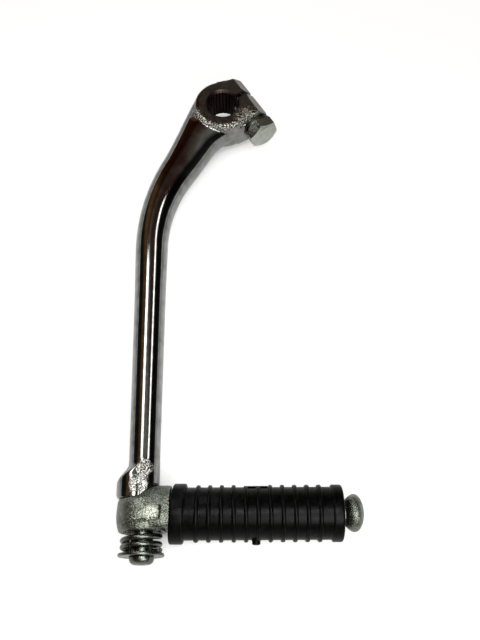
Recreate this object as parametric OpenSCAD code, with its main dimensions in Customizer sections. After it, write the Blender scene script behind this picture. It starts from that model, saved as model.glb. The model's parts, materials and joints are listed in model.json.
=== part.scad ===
// Kick start lever with a splined clamp boss, a bent tapering arm and a foot pedal that folds on a pin.
// Millimetres. The origin is on the axis of the splined bore, halfway along the bore.
// +Z is the bore axis, towards the face that shows. The shank runs along -Y, the folded pedal along +X.

/* [Splined bore] */
// Width across the lands between the grooves
bore_d = 14.9; // [14:0.1:15.6]
// Depth of each groove
groove_depth = 0.6; // [0.3:0.1:0.8]
// Width of a groove where it opens into the bore
groove_w = 0.95; // [0.5:0.05:1.0]
// Number of grooves round the bore
groove_count = 28; // [20:1:32]
// Chamfer at both mouths of the bore
bore_chamfer = 0.5; // [0.2:0.1:0.8]

/* [Clamp boss] */
// Outside width of the round boss
boss_d = 28.4; // [27:0.1:31]
// Length of the boss along the bore
boss_len = 18; // [16.5:0.5:22]
// Rounding of the boss edge at the face that shows
boss_round = 1.8; // [0.8:0.1:2.4]
// Rounding of the boss edge at the back
back_round = 2.4; // [1:0.1:3]
// Direction of the clamp slot, from +X towards +Y
slot_dir = 31; // [25:1:38]
// Width of the clamp slot
slot_w = 2.4; // [1.5:0.1:3]
// Reach of the ears from the bore axis
ear_reach = 17.2; // [16.8:0.1:19]
// Upper ear, from the slot's middle to its end
ear_upper = 10.8; // [10:0.1:12]
// Lower ear, from the slot's middle to the seat of the bolt head
ear_lower = 13.9; // [12:0.1:15]
// Slanted flat on the outer edges of the ears
ear_bevel = 4.6; // [3:0.1:5.5]
// Rounding of the other edges of the ears
ear_round = 1.5; // [0.5:0.1:2.5]

/* [Pinch bolt] */
// Thread size of the bolt
bolt_d = 8; // [7:0.5:8]
// Distance of the bolt from the bore axis
bolt_off = 11.6; // [11.6:0.1:12.2]
// How far the bolt lies below the middle of the bore
bolt_drop = 1.2; // [0:0.1:1.6]
// Width of the bolt head across its flats
head_af = 14; // [12:0.5:14]
// Height of the bolt head
head_h = 5.6; // [4.5:0.1:6.5]
// How far the six corners are turned round from the slot direction
head_turn = 45; // [0:1:60]
// Distance of the bolt's tip from the end of the upper ear
tip_gap = 0.8; // [0.3:0.1:3]
// Thickness of the split lock washer
lock_t = 2.2; // [1.2:0.1:2.4]
// Outside width of the split lock washer
lock_od = 14.6; // [13:0.1:14.8]
// Gap of the split in the lock washer
lock_gap = 1.2; // [0.6:0.1:2]

/* [Neck and bend] */
// Lean of the neck away from the shank's direction
neck_angle = 30; // [24:1:34]
// Distance at which the neck's middle line passes the bore axis
neck_off = 3.2; // [2.5:0.1:4]
// Radius of the bend in the middle line
bend_r = 86; // [55:1:92]
// Half width of the neck at the boss, on the side of the ears
neck_inner_w = 10.9; // [9.5:0.1:10.9]
// Half width of the neck at the boss, on the other side
neck_outer_w = 13.4; // [11:0.1:14]
// Half thickness of the neck at the boss
neck_half_t = 8.2; // [7.2:0.1:8.6]
// How far the neck's middle line rises towards the boss
neck_rise = 2.1; // [1:0.1:2.6]
// Squareness of the neck's section at the boss, 1 for a plain oval
neck_square = 0.8; // [0.7:0.05:1]
// Half width of the neck where the bend starts
bend_half_w = 9.1; // [8:0.1:9.8]
// Half thickness of the neck where the bend starts
bend_half_t = 8.4; // [7.8:0.1:9.2]
// Extra width of the web that runs up to the lower ear
web_flare = 12; // [8:0.5:13]
// Length of that web along the neck
web_len = 22; // [18:1:28]

/* [Shank] */
// Sideways distance from the bore axis to the shank's axis
shank_x = 34.3; // [30:0.1:38]
// How far the shank's axis lies below the middle of the bore
shank_drop = 2.5; // [1:0.1:3.5]
// Shank diameter below the bend
shank_top_d = 15; // [14:0.1:15.6]
// Shank diameter where the quick taper has ended
shank_mid_d = 14.1; // [13:0.1:14.4]
// Length of the quick taper
taper_len = 26; // [15:1:40]
// Shank diameter at the pedal joint
shank_low_d = 12.7; // [12:0.1:13.4]

/* [Pedal joint] */
// Distance from the bore axis down to the pedal's axis
pivot_y = 198.3; // [185:0.1:215]
// Radius of the half collar at the end of the arm
lobe_r = 11.1; // [10.5:0.1:12]
// Height over which the half collar swells out of the shank
lobe_flare = 9; // [6:0.5:12]
// Straight height of the half collar
lobe_h = 6; // [5:0.1:8]
// Rounding of the half collar's lower edge
lobe_round = 1.8; // [0.5:0.1:2.2]
// Flat side of the half collar, beside the pin's axis
lobe_side = 2; // [1:0.1:3]
// How far the half collar reaches past the pin's far side, in degrees
lobe_back = 20; // [5:1:25]
// Diameter of the pin where the pedal turns on it
pin_d = 9; // [8:0.1:9.2]
// Diameter of the pin's pressed end
stem_d = 8; // [6.5:0.1:8.2]
// Depth of the pressed end in the arm
stem_len = 16; // [10:1:22]
// Width of the pin's head
pin_head_d = 10; // [9.8:0.1:11]
// Height of the pin's head
pin_head_h = 3; // [2.5:0.1:5]
// Thickness of the washer over the pin's head
seat_t = 1.3; // [1:0.1:2]
// Outside width of that washer
seat_od = 18.6; // [17:0.1:19]
// Clearance of that washer round the pin, at each side
seat_play = 0.3; // [0.05:0.05:0.35]

/* [Joint spring] */
// Wire thickness
wire_d = 2.2; // [1.8:0.1:2.3]
// Outside width of the coil
spring_od = 17; // [16:0.1:17.6]
// Height that the spring takes up
spring_h = 7.9; // [7.5:0.1:9]
// Number of turns
spring_turns = 2.05; // [1.9:0.01:2.1]
// Where the upper end of the wire shows, from +X towards +Z
spring_start = -12; // [-40:1:20]
// How quickly the spring drops away from the eye, 1 for an even pitch
spring_ease = 0.77; // [0.75:0.01:1]

/* [Pedal] */
// Largest radius of the eye
eye_r = 10.7; // [10.4:0.1:11.2]
// Height of the eye above the pedal's axis
eye_up = 5.5; // [4:0.1:6]
// Height of the eye below the pedal's axis
eye_down = 7.5; // [7:0.1:10]
// How much the eye narrows towards its lower end
eye_barrel = 1.2; // [0.5:0.1:2.4]
// Radius of the shoulder round the pedal's axis
shoulder_r = 11.3; // [10.8:0.1:11.6]
// Flat under the shoulder, measured from the pedal's axis
shoulder_low = 6.3; // [5:0.1:8]
// Height of the step on the shoulder above the pedal's axis
hump_up = 11.1; // [9:0.1:11.2]
// How far the step reaches round the back of the pin, in degrees
hump_back = 60; // [40:1:62]
// Slant of the folded pedal below square to the shank
pedal_droop = 0.7; // [0:0.1:3]
// Distance from the pin's axis to the grip
grip_start = 11.6; // [11.3:0.1:14]
// Diameter of the bar inside the grip
bar_d = 14; // [12:0.5:15]
// Diameter of the neck behind the end knob
knob_neck_d = 10; // [8:0.5:11]
// Widest diameter of the end knob
knob_d = 15.1; // [14:0.1:18]
// Length of the end knob
knob_len = 7.8; // [6:0.1:10]
// Width of the flat on the front of the eye
eye_flat = 7; // [3:0.5:8]

/* [Grip rubber] */
// Length of the grip
grip_len = 69.2; // [62:0.1:80]
// Diameter over the ribs
rib_d = 22.7; // [22:0.1:25]
// Diameter of the floor between the ribs
floor_d = 20.9; // [19.5:0.1:21.5]
// Number of ribs between the end bands
rib_count = 11; // [7:1:12]
// Width of a rib
rib_w = 1.7; // [1:0.1:2.2]
// Width of the band next to the shoulder
inner_band = 5.5; // [3:0.1:7]
// Diameter of the band next to the shoulder
inner_band_d = 24; // [23:0.1:25.5]
// Width of the band next to the knob
outer_band = 4.4; // [3:0.1:7]
// Thickness of the rubber lip that holds behind the bar's end
lip_w = 1.6; // [1:0.1:3]
// Width of the bare pad along the grip
pad_w = 9.8; // [6:0.1:12]
// Length of the bare pad round the grip
pad_len = 20.5; // [14:0.5:21.5]
// Diameter of the moulding nub
nub_d = 3.2; // [2:0.1:4]
// Height of the moulding nub above the ribs
nub_h = 1; // [0.5:0.1:2]

/* [Fits] */
// Running clearance of the pedal's eye on the pin, at each side
run_gap = 0.05; // [0.02:0.01:0.1]
// Clearance where a piece is pressed, screwed or pulled on, at each side
seat_gap = 0.03; // [0.01:0.01:0.08]
// Clearance of the bolt in the lower ear, at each side
bolt_gap = 0.3; // [0.2:0.05:0.4]
// Gap between the turning pedal and the arm
joint_gap = 0.3; // [0.2:0.05:0.5]
// Space left round the bolt head where it seats
spot_gap = 0.8; // [0.4:0.1:1.2]

/* [Hidden] */
$fn = 96;
past = 1;                       // how far a cutting shape runs past what it cuts
lap = 0.5;                      // how far joined shapes of one piece run into each other

boss_r = boss_d / 2;
boss_half = boss_len / 2;
bore_r = bore_d / 2;
head_corner_r = head_af / 2 / cos(30);
spot_r = max(head_corner_r, lock_od / 2) + spot_gap;

// The middle line: straight neck, arc of the bend, then the shank
neck_start = [-neck_off * cos(neck_angle), neck_off * sin(neck_angle)];
neck_dir = [-sin(neck_angle), -cos(neck_angle)];
bend_tangent = bend_r * tan(neck_angle / 2);
corner_run = (shank_x + neck_start[0]) / sin(neck_angle);
neck_len = corner_run - bend_tangent;
bend_len = bend_r * neck_angle * PI / 180;
bend_end_y = neck_start[1] - corner_run * cos(neck_angle) - bend_tangent;
shank_top_r = shank_top_d / 2;
shank_low_r = shank_low_d / 2;

root_run = 7;                   // the neck starts this far past the bore axis, inside the boss
neck_rings = 16;
bend_rings = 12;
ring_points = 40;
taper_power = 1.7;              // how quickly the bend narrows to the shank
outer_power = 1.25;             // how quickly the neck's outer side narrows

// Heights in the joint, counted from the pedal's axis down towards the pin's head
lobe_low_z = -eye_up - joint_gap;
lobe_top_z = lobe_low_z - lobe_h;
arm_end_z = -hump_up - joint_gap;
flare_z = lobe_top_z - lobe_flare;
seat_z = eye_down + spring_h;
pin_head_z = seat_z + seat_t;
spring_r = (spring_od - wire_d) / 2;
ramp_low_x = -lobe_side + joint_gap;
ramp_high_x = shank_low_r - 0.7;
ramp_gap = 0.4;                 // sideways, so that the slanted faces lie about joint_gap apart
root_share = 0.62;              // the neck's width where it starts, as a share of that at the bore axis
flat_depth = 0.35;              // depth of the flat on the eye
flat_tall = 5.4;                // height of that flat along the pin
flat_shift = 0.9;               // distance of that flat from the pin's axis
head_ease = 0.35;               // how far the chamfer cuts into the flats of the bolt head
ridge_power = 0.6;              // fullness of the grip's ridges

// Along the grip, counted from the pin's axis
grip_end = grip_start + grip_len;
rib_pitch = (grip_len - inner_band - outer_band) / (rib_count + 1);
bar_end = grip_end - lip_w;
knob_start = grip_end + 1;

function mix(a, b, k) = a + (b - a) * k;
function ease(k) = k * k * (3 - 2 * k);
function power_of(v, p) = v == 0 ? 0 : sign(v) * pow(abs(v), p);

// Frames of the bolt, the pin and the pedal: the children are drawn on +Z of each
module on_bolt() {
    rotate([0, 0, slot_dir]) translate([bolt_off, 0, -bolt_drop]) rotate([90, 0, 0]) children();
}
module on_pivot() { translate([-shank_x, -pivot_y, -shank_drop]) rotate([90, 0, 0]) children(); }
module on_pedal() {
    translate([-shank_x, -pivot_y, -shank_drop]) rotate([0, 0, -pedal_droop]) rotate([0, 90, 0])
        children();
}

// A piece of a round tube, from z0 to z1
module rod(r, z0, z1) { translate([0, 0, z0]) cylinder(r = r, h = z1 - z0); }

// Widths to both sides, half thickness, squareness and height of the neck at a run s from the bore axis
function bend_left(s) = max(0, 1 - (s - neck_len) / bend_len);
function neck_left(s) = max(0, 1 - s / neck_len);
function narrowing(from, s) = shank_top_r + (from - shank_top_r) * pow(bend_left(s), taper_power);
function web_at(s) = s < web_len ? web_flare * pow((web_len - s) / web_len, 2) : 0;
function inner_w(s) = s < neck_len ? mix(bend_half_w, neck_inner_w, neck_left(s))
    : narrowing(bend_half_w, s);
function outer_w(s) = s < neck_len ? mix(bend_half_w, neck_outer_w, pow(neck_left(s), outer_power))
    : narrowing(bend_half_w, s);
function half_t(s) = s < neck_len ? mix(bend_half_t, neck_half_t, neck_left(s))
    : narrowing(bend_half_t, s);
function square_at(s) = mix(1, neck_square, neck_left(s));
function height_at(s) = -shank_drop + neck_rise * ease(min(1, neck_left(s)));
function turn_at(s) = s < neck_len ? neck_angle : neck_angle * bend_left(s);
function middle_at(s) = s < neck_len ? neck_start + s * neck_dir
    : [-shank_x + bend_r * (1 - cos(turn_at(s))), bend_end_y + bend_r * sin(turn_at(s))];

// How much of its width the neck has where it starts inside the boss
function root_at(s) = s < 0 ? mix(1, root_share, -s / root_run) : 1;

function neck_ring(s) = let (c = middle_at(s), a = turn_at(s), q = square_at(s), k = root_at(s))
    [for (i = [0 : ring_points - 1]) let (f = 360 * i / ring_points,
        wide = cos(f) > 0 ? inner_w(max(0, s)) + web_at(max(0, s)) * k : outer_w(max(0, s)) * k,
        x = power_of(cos(f), q) * wide,
        z = power_of(sin(f), q) * half_t(max(0, s)))
        [c[0] + x * cos(a), c[1] - x * sin(a), height_at(max(0, s)) + z]];

// A closed skin over a list of rings that all have the same number of points
module skin(rings) {
    n = len(rings[0]);
    last = len(rings) - 1;
    polyhedron(points = [for (r = rings) each r], faces = concat(
        [[for (i = [0 : n - 1]) i]],
        [for (k = [0 : last - 1], i = [0 : n - 1]) let (j = (i + 1) % n)
            each [[k * n + i, (k + 1) * n + i, (k + 1) * n + j], [k * n + i, (k + 1) * n + j, k * n + j]]],
        [[for (i = [n - 1 : -1 : 0]) last * n + i]]));
}

module neck_and_bend() {
    straight = [for (k = [0 : neck_rings - 1]) mix(-root_run, neck_len, k / neck_rings)];
    curved = [for (k = [0 : bend_rings]) neck_len + bend_len * k / bend_rings];
    skin([for (s = concat(straight, curved)) neck_ring(s)]);
}

// Points of a rounded edge of radius r about (x, y), from one angle to another
function rounding(x, y, r, from, to) = [for (a = [from : 15 : to]) [x + r * cos(a), y + r * sin(a)]];

module round_boss() {
    rotate_extrude() polygon(concat(
        [[0, -boss_half]],
        rounding(boss_r - back_round, -boss_half + back_round, back_round, -90, 0),
        rounding(boss_r - boss_round, boss_half - boss_round, boss_round, 0, 90),
        [[0, boss_half]]));
}

// Fills the hollow between the round boss and the end of the upper ear, along the tangent to the boss
module upper_fill() {
    corner = [ear_reach - ear_bevel, ear_upper - ear_round / 2];
    touch = atan2(corner[1], corner[0]) + acos(boss_r / norm(corner));
    lower = boss_round / 3;
    rotate([0, 0, slot_dir]) translate([0, 0, -boss_half + lower]) linear_extrude(boss_len - 2 * lower)
        polygon([[0, 0], [corner[0], 0], corner, boss_r * [cos(touch), sin(touch)]]);
}

// Both ears as one block, as seen along the slot, along the bolt and from above
module ears() {
    r = ear_round;
    b = ear_bevel;
    wide = ear_upper + ear_lower;
    rotate([0, 0, slot_dir]) intersection() {
        translate([0, (ear_upper - ear_lower) / 2, -boss_half]) linear_extrude(boss_len)
            translate([0, -wide / 2]) square([ear_reach, wide]);
        rotate([90, 0, 0]) translate([0, 0, -wide]) linear_extrude(2 * wide)
            polygon([[0, -boss_half], [ear_reach - b, -boss_half], [ear_reach, -boss_half + b],
                     [ear_reach, boss_half - b], [ear_reach - b, boss_half], [0, boss_half]]);
        rotate([90, 0, 90]) linear_extrude(ear_reach)
            polygon([for (q = [[-ear_lower + r, -boss_half + r, 180], [ear_upper - r, -boss_half + r, 270],
                               [ear_upper - r, boss_half - r, 0], [-ear_lower + r, boss_half - r, 90]],
                          a = [0 : 15 : 90]) [q[0] + r * cos(q[2] + a), q[1] + r * sin(q[2] + a)]]);
    }
}

module spline_cut() {
    deep = bore_r + groove_depth;
    cylinder(r = bore_r, h = boss_len + 2 * past, center = true);
    linear_extrude(boss_len + 2 * past, center = true)
        for (i = [0 : groove_count - 1]) rotate(360 * i / groove_count)
            polygon([[bore_r - lap, -groove_w / 2], [bore_r, -groove_w / 2], [deep, 0],
                     [bore_r, groove_w / 2], [bore_r - lap, groove_w / 2]]);
    for (side = [0, 180]) rotate([side, 0, 0]) translate([0, 0, boss_half - groove_depth - bore_chamfer])
        cylinder(r1 = bore_r, r2 = deep + bore_chamfer + past, h = groove_depth + bore_chamfer + past);
}

module clamp_cuts() {
    spline_cut();
    rotate([0, 0, slot_dir]) translate([0, -slot_w / 2, -boss_half - past])
        cube([ear_reach + past, slot_w, boss_len + 2 * past]);
    on_bolt() {
        rod(bolt_d / 2 + bolt_gap, 0, ear_lower + past);
        rod(bolt_d / 2 + seat_gap, -ear_upper - past, 0);
        rod(spot_r, ear_lower, ear_lower + boss_len);
        translate([-spot_r * 0.7, -boss_len, ear_lower]) cube([2 * boss_len, 2 * boss_len, boss_len]);
    }
}

module shank() {
    top = -bend_end_y;
    low = pivot_y + arm_end_z;
    rotate([90, 0, 0]) translate([-shank_x, -shank_drop, 0]) rotate_extrude()
        polygon([[0, top - lap / 10], [shank_top_r + 0.01, top - lap / 10],
                 [shank_mid_d / 2, top + taper_len], [shank_low_r, low], [0, low]]);
}

// The half collar: a swelling that is turned round the pin's axis and kept only on one side
module lobe() {
    steps = 8;
    r = lobe_round;
    on_pivot() intersection() {
        rotate_extrude() polygon(concat(
            [[0, flare_z]],
            [for (k = [0 : steps]) [mix(shank_low_r - 0.05, lobe_r, ease(k / steps)),
                                    flare_z + lobe_flare * k / steps]],
            [for (a = [0 : 15 : 90]) [lobe_r - r + r * cos(a), lobe_low_z - r + r * sin(a)]],
            [[0, lobe_low_z]]));
        translate([0, 0, flare_z - past]) linear_extrude(lobe_low_z - flare_z + 2 * past)
            lobe_side_of(0);
    }
}

// The part of the plane round the pin that belongs to the half collar
module lobe_side_of(grow) {
    far = 2 * lobe_r;
    polygon([[-lobe_side + grow, far], [-far, far], [-far, -far * tan(lobe_back)],
             [-lobe_side + grow, -lobe_side * tan(lobe_back)]]);
}

// The slanted face between the half collar and the pedal's step, seen from the front
module ramp(shift) {
    far = 2 * lobe_r;
    rotate([-90, 0, 0]) linear_extrude(far) mirror([0, 1])
        polygon([[-far, arm_end_z - lap], [ramp_high_x + shift + lap, arm_end_z - lap],
                 [ramp_high_x + shift, arm_end_z], [ramp_low_x + shift, lobe_low_z],
                 [ramp_low_x + shift - past, lobe_low_z + past], [-far, lobe_low_z + past]]);
}

// What the shank leaves standing in front of the pin, down to the slanted face
module shank_tongue() {
    on_pivot() intersection() {
        rod(shank_low_r, arm_end_z - lap, lobe_low_z);
        ramp(0);
    }
}

module arm() {
    color("silver") difference() {
        union() {
            round_boss();
            upper_fill();
            ears();
            neck_and_bend();
            shank();
            lobe();
            shank_tongue();
        }
        clamp_cuts();
        on_pivot() rod(stem_d / 2 + seat_gap, arm_end_z - stem_len, 0);
        on_pivot() rod(pin_d / 2 + run_gap, arm_end_z, 0);
    }
}

module pivot_pin() {
    r = pin_head_d / 2;
    dome = pin_head_h * 0.75;
    bevel = 1;
    start = arm_end_z - stem_len + bevel;
    color("silver") on_pivot() rotate_extrude() polygon(concat(
        [[0, start], [stem_d / 2 - bevel / 2, start], [stem_d / 2, start + bevel], [stem_d / 2, arm_end_z],
         [pin_d / 2, arm_end_z], [pin_d / 2, pin_head_z], [r, pin_head_z]],
        rounding(r - dome, pin_head_z + pin_head_h - dome, dome, 0, 90),
        [[0, pin_head_z + pin_head_h]]));
}

module joint_spring() {
    rings_per_turn = 24;
    sides = 10;
    steps = round(spring_turns * rings_per_turn);
    rise = spring_h - wire_d - 2 * seat_gap;
    function point(k, g) = let (q = k / steps, f = spring_start + 360 * spring_turns * q,
            r = spring_r + wire_d / 2 * cos(g),
            height = eye_down + seat_gap + wire_d / 2 + rise * pow(q, spring_ease))
        [r * cos(f), r * sin(f), height + wire_d / 2 * sin(g)];
    color("dimgray") on_pivot()
        skin([for (k = [0 : steps]) [for (i = [sides - 1 : -1 : 0]) point(k, 360 * i / sides)]]);
}

module seat_washer() {
    color("darkgray") on_pivot() difference() {
        rod(seat_od / 2, seat_z, pin_head_z - seat_gap);
        rod(pin_d / 2 + seat_play, seat_z - past, pin_head_z + past);
    }
}

module pinch_bolt() {
    tip = -ear_upper + tip_gap;
    seat = ear_lower + lock_t;
    r = bolt_d / 2;
    end = seat + head_h;
    edge = head_af / 2 - head_ease;
    wide = head_corner_r + past;
    color("lightgray") on_bolt() {
        rotate_extrude()
            polygon([[0, tip], [r - 1, tip], [r, tip + 1], [r, seat + lap], [0, seat + lap]]);
        intersection() {
            rotate([0, 0, head_turn]) translate([0, 0, seat]) linear_extrude(head_h)
                circle(head_corner_r, $fn = 6);
            rotate_extrude()
                polygon([[0, seat], [wide, seat], [wide, end - (wide - edge) * tan(30)], [edge, end], [0, end]]);
        }
    }
}

module lock_washer() {
    color("gray") on_bolt() difference() {
        rod(lock_od / 2, ear_lower, ear_lower + lock_t);
        rod(bolt_d / 2 + seat_gap, ear_lower - past, ear_lower + lock_t + past);
        rotate([0, 0, head_turn]) translate([0, -lock_gap / 2, ear_lower - past])
            cube([lock_od, lock_gap, lock_t + 2 * past]);
    }
}

module eye() {
    middle = 1;
    steps = 12;
    edge = 0.4;
    on_pivot() rotate_extrude() polygon(concat(
        [[0, -eye_up]],
        [for (k = [0 : steps]) let (z = mix(-eye_up, eye_down, k / steps),
            narrower = eye_barrel * pow((z - middle) / (eye_down - middle), 2) * (z < middle ? 0.5 : 1),
            off = k == 0 || k == steps ? edge : 0) [eye_r - narrower - off, z]],
        [[0, eye_down]]));
}

// The step that stands beside the half collar and turns past it
module hump() {
    far = 2 * lobe_r;
    on_pivot() difference() {
        translate([0, 0, -hump_up]) linear_extrude(hump_up)
            polygon([[0, 0], [far * cos(hump_back), -far * sin(hump_back)], [far, 0], [far, far],
                     [-far, far]]);
        intersection() {
            ramp(ramp_gap);
            translate([-far, 0, -far]) cube(2 * far);
        }
        translate([0, 0, -eye_up]) rotate([180, 0, 0]) linear_extrude(far) lobe_side_turned();
    }
}

module lobe_side_turned() { mirror([0, 1]) lobe_side_of(joint_gap); }

module shoulder() {
    intersection() {
        on_pedal() rod(shoulder_r, -lap, grip_start - seat_gap);
        union() {
            on_pivot() translate([0, 0, -eye_up]) linear_extrude(eye_up + shoulder_low)
                square(4 * shoulder_r, center = true);
            hump();
        }
    }
}

module bar_and_knob() {
    r = knob_d / 2;
    wide = knob_len / 2;
    on_pedal() rotate_extrude() polygon(concat(
        [[0, grip_start - 2], [bar_d / 2, grip_start - 2], [bar_d / 2, bar_end - 0.6],
         [bar_d / 2 - 0.6, bar_end], [knob_neck_d / 2, bar_end], [knob_neck_d / 2, knob_start]],
        [for (k = [1 : 5]) [mix(knob_neck_d / 2, r, sin(18 * k)), knob_start + wide * k / 5]],
        [for (a = [15 : 15 : 75]) [r * cos(a), knob_start + wide + (knob_len - wide) * sin(a)]],
        [[0, knob_start + knob_len]]));
}

module pedal() {
    color("lightsteelblue") difference() {
        union() {
            eye();
            shoulder();
            bar_and_knob();
        }
        on_pivot() rod(pin_d / 2 + run_gap, -hump_up - past, eye_down + past);
        translate([-shank_x + flat_shift, -pivot_y - flat_tall * 2 / 3, -shank_drop + eye_r - flat_depth])
            cube([eye_flat, flat_tall, past]);
    }
}

// One rounded ridge of the grip, as points from its left foot to its right foot
function ridge(z, w, foot, top) = [for (a = [180 : -30 : 0])
    [foot + (top - foot) * pow(sin(a), ridge_power), z + w / 2 * cos(a)]];

module grip_rubber() {
    floor_r = floor_d / 2;
    band_r = inner_band_d / 2;
    hole = bar_d / 2 + seat_gap;
    edge = 1.2;
    color("black") {
        on_pedal() rotate_extrude() polygon(concat(
                [[hole, grip_start], [band_r - edge, grip_start],
                 [band_r - edge * 0.3, grip_start + edge * 0.3], [band_r, grip_start + edge],
                 [band_r, grip_start + inner_band - edge * 0.6],
                 [band_r - edge * 0.6, grip_start + inner_band - edge * 0.1],
                 [floor_r, grip_start + inner_band]],
                [for (k = [1 : rib_count])
                    each ridge(grip_start + inner_band + k * rib_pitch, rib_w, floor_r, rib_d / 2)],
                [[floor_r, grip_end - outer_band], [rib_d / 2 - 0.3, grip_end - outer_band + 0.3],
                 [rib_d / 2, grip_end - outer_band + edge], [rib_d / 2, grip_end - edge],
                 [rib_d / 2 - edge * 0.3, grip_end - edge * 0.3], [rib_d / 2 - edge, grip_end],
                 [knob_neck_d / 2 + seat_gap, grip_end],
                 [knob_neck_d / 2 + seat_gap, grip_end - lip_w + seat_gap],
                 [hole, grip_end - lip_w + seat_gap]]));
        grip_pad();
        grip_nub();
    }
}

// The bare oval on the upper side, level with the ribs
module grip_pad() {
    mid = grip_start + inner_band + (rib_count + 1) / 2 * rib_pitch;
    run = (pad_len - pad_w) / 2;
    intersection() {
        on_pedal() difference() {
            rod(rib_d / 2 + 0.1, mid - pad_w, mid + pad_w);
            rod(floor_d / 2 - lap, mid - pad_w - past, mid + pad_w + past);
        }
        on_pedal() translate([0, 0, mid]) rotate([-90, 0, 0]) linear_extrude(rib_d) {
            for (side = [-1, 1]) translate([side * run, 0]) circle(pad_w / 2);
            square([2 * run, pad_w], center = true);
        }
    }
}

// The small round nub that moulding leaves on the lower side
module grip_nub() {
    mid = grip_start + inner_band + (rib_count + 1) / 2 * rib_pitch;
    tip = rib_d / 2 + nub_h;
    on_pedal() translate([0, 0, mid]) rotate([90, 0, 0]) rotate(20) rotate_extrude()
        polygon([[0, floor_d / 2 - lap], [nub_d / 2, floor_d / 2 - lap], [nub_d / 2, tip - 0.4],
                 [nub_d / 2 - 0.5, tip], [0, tip]]);
}

arm();
pivot_pin();
joint_spring();
seat_washer();
pinch_bolt();
lock_washer();
pedal();
grip_rubber();
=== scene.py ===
import json
from math import acos, atan2, cos, pi, radians, sin, tan

import bmesh
import bpy
from mathutils import Matrix, Vector
from mathutils.noise import noise as grainAt


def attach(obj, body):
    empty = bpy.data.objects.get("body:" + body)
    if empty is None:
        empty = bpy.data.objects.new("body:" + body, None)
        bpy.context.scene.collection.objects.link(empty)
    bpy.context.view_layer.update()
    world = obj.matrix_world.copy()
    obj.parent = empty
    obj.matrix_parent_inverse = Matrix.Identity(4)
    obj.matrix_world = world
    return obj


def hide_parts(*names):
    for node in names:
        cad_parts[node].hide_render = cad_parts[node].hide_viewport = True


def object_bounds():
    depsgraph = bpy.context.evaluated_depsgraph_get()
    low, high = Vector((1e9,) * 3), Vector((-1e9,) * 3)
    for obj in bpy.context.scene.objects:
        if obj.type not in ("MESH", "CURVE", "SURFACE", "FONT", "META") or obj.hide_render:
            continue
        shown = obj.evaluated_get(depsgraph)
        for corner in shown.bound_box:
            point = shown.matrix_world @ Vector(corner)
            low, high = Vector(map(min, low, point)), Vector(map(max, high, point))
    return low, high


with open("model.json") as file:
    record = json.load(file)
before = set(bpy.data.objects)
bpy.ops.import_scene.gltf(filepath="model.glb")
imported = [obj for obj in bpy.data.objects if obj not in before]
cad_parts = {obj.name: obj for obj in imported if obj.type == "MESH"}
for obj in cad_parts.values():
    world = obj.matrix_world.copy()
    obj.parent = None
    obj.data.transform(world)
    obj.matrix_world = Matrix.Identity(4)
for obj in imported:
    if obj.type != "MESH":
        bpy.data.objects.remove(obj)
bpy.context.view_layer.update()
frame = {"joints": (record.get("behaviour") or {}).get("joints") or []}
print("frame loaded")

mm = 0.001                                               # settings are in millimetres, Blender in metres
pivot = Vector(frame["joints"][0]["pos_m"]) / mm         # where the pedal's axis crosses the pin's axis
shankX, pivotY, planeZ = pivot
pivotFrame = Matrix.Translation(pivot) @ Matrix.Rotation(radians(90), 4, "X")
home = Matrix.Identity(4)
fit = 0.03                                               # clearance between pieces that seat on each other
grainRange = (0.3, 0.7)                                  # where most values of a noise lie


# Camera at the photo's angle
cameraSet = {
    "place": (4.3, -248.7, 310.6),                       # above the plane of the shank's axis
    "target": (6.6, -113.0, 0),
    "roll": -1.0,
    "focal": 750,                                        # in pixels of the 480 by 640 frame
    "longSide": 640,
    "sensor": 36,
}


def makeCamera():
    s = cameraSet
    data = bpy.data.cameras.new("camera")
    data.sensor_fit = "AUTO"
    data.sensor_width = s["sensor"]
    data.lens = s["focal"] / s["longSide"] * s["sensor"]
    data.clip_start = 0.01
    data.clip_end = 20
    place = Vector(s["place"]) + Vector((0, 0, planeZ))
    forward = (Vector(s["target"]) - Vector(s["place"])).normalized()
    roll = radians(s["roll"])
    right = forward.cross(Vector((sin(-roll), cos(roll), 0))).normalized()
    up = right.cross(forward)
    turn = Matrix((right, up, -forward)).transposed().to_4x4()
    camera = bpy.data.objects.new("camera", data)
    camera.matrix_world = Matrix.Translation(place * mm) @ turn
    bpy.context.scene.collection.objects.link(camera)
    bpy.context.scene.camera = camera


# Node helpers
def blankMaterial(name):
    material = bpy.data.materials.new(name)
    material.use_nodes = True
    material.node_tree.nodes.clear()
    return material, material.node_tree


def addNode(tree, kind, settings=None, **values):
    node = tree.nodes.new(kind)
    for key, value in (settings or {}).items():
        setattr(node, key, value)
    for key, value in values.items():
        socket = node.inputs[key.replace("_", " ")]
        if isinstance(value, bpy.types.NodeSocket):
            tree.links.new(value, socket)
        else:
            socket.default_value = value
    return node


def noise(tree, where, scale, detail=3.0, rough=0.5):
    node = addNode(tree, "ShaderNodeTexNoise", Vector=where, Scale=scale, Detail=detail, Roughness=rough)
    return node.outputs["Fac"]


def remap(tree, value, low, high, toLow, toHigh):
    node = addNode(tree, "ShaderNodeMapRange", Value=value)
    for socket, number in zip(list(node.inputs)[1:5], (low, high, toLow, toHigh)):
        socket.default_value = number
    return node.outputs["Result"]


def maths(tree, operation, first, second):
    node = addNode(tree, "ShaderNodeMath", {"operation": operation})
    for socket, value in zip(node.inputs, (first, second)):
        if isinstance(value, bpy.types.NodeSocket):
            tree.links.new(value, socket)
        else:
            socket.default_value = value
    return node.outputs["Value"]


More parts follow.
